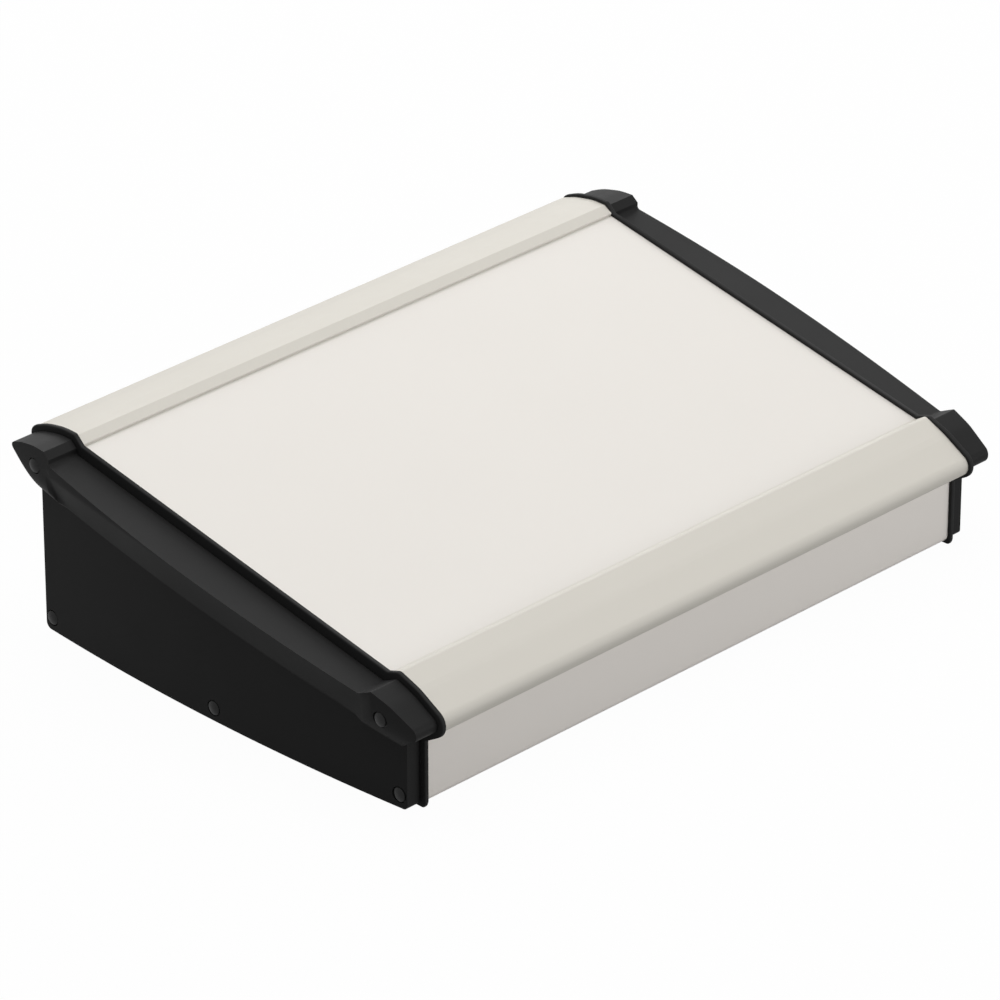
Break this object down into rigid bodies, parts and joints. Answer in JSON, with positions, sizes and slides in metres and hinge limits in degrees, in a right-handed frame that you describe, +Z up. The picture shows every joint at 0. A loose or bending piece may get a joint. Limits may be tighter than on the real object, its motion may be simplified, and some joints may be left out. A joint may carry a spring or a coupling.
{
  "type": "sloping desk console enclosure",
  "caption": "Sloping desk console enclosure of two aluminium extrusions, with a recessed operating panel, moulded end caps, seals, cover plugs and rubber feet.",
  "frame": {"origin": "centre of the bounding box in plan, on the surface that the feet stand on", "axes": "+X along the extrusions to the right-hand end cap, +Y towards the high rear hood, +Z up"},
  "size_m": [0.3438, 0.2382, 0.0884],
  "materials": {
    "painted_base": "fine satin powder coat",
    "painted_top": "fine satin powder coat",
    "cap_plastic": "fine matt moulding texture",
    "plug_plastic": "smooth satin moulding",
    "seal_rubber": "matt elastomer",
    "foot_rubber": "matt elastomer",
    "screw_steel": "zinc plated"
  },
  "bodies": {
    "root": {"base_profile": "painted_base", "top_profile": "painted_top", "left_seal": "seal_rubber", "right_seal": "seal_rubber", "left_end_cap": "cap_plastic", "right_end_cap": "cap_plastic", "left_cap_screws": "screw_steel", "right_cap_screws": "screw_steel", "left_rear_top_plug": "plug_plastic", "left_front_top_plug": "plug_plastic", "left_rear_low_plug": "plug_plastic", "left_middle_low_plug": "plug_plastic", "left_front_low_plug": "plug_plastic", "right_rear_top_plug": "plug_plastic", "right_front_top_plug": "plug_plastic", "right_rear_low_plug": "plug_plastic", "right_middle_low_plug": "plug_plastic", "right_front_low_plug": "plug_plastic", "front_left_foot": "foot_rubber", "front_right_foot": "foot_rubber", "rear_left_foot": "foot_rubber", "rear_right_foot": "foot_rubber"}
  },
  "joints": []
}
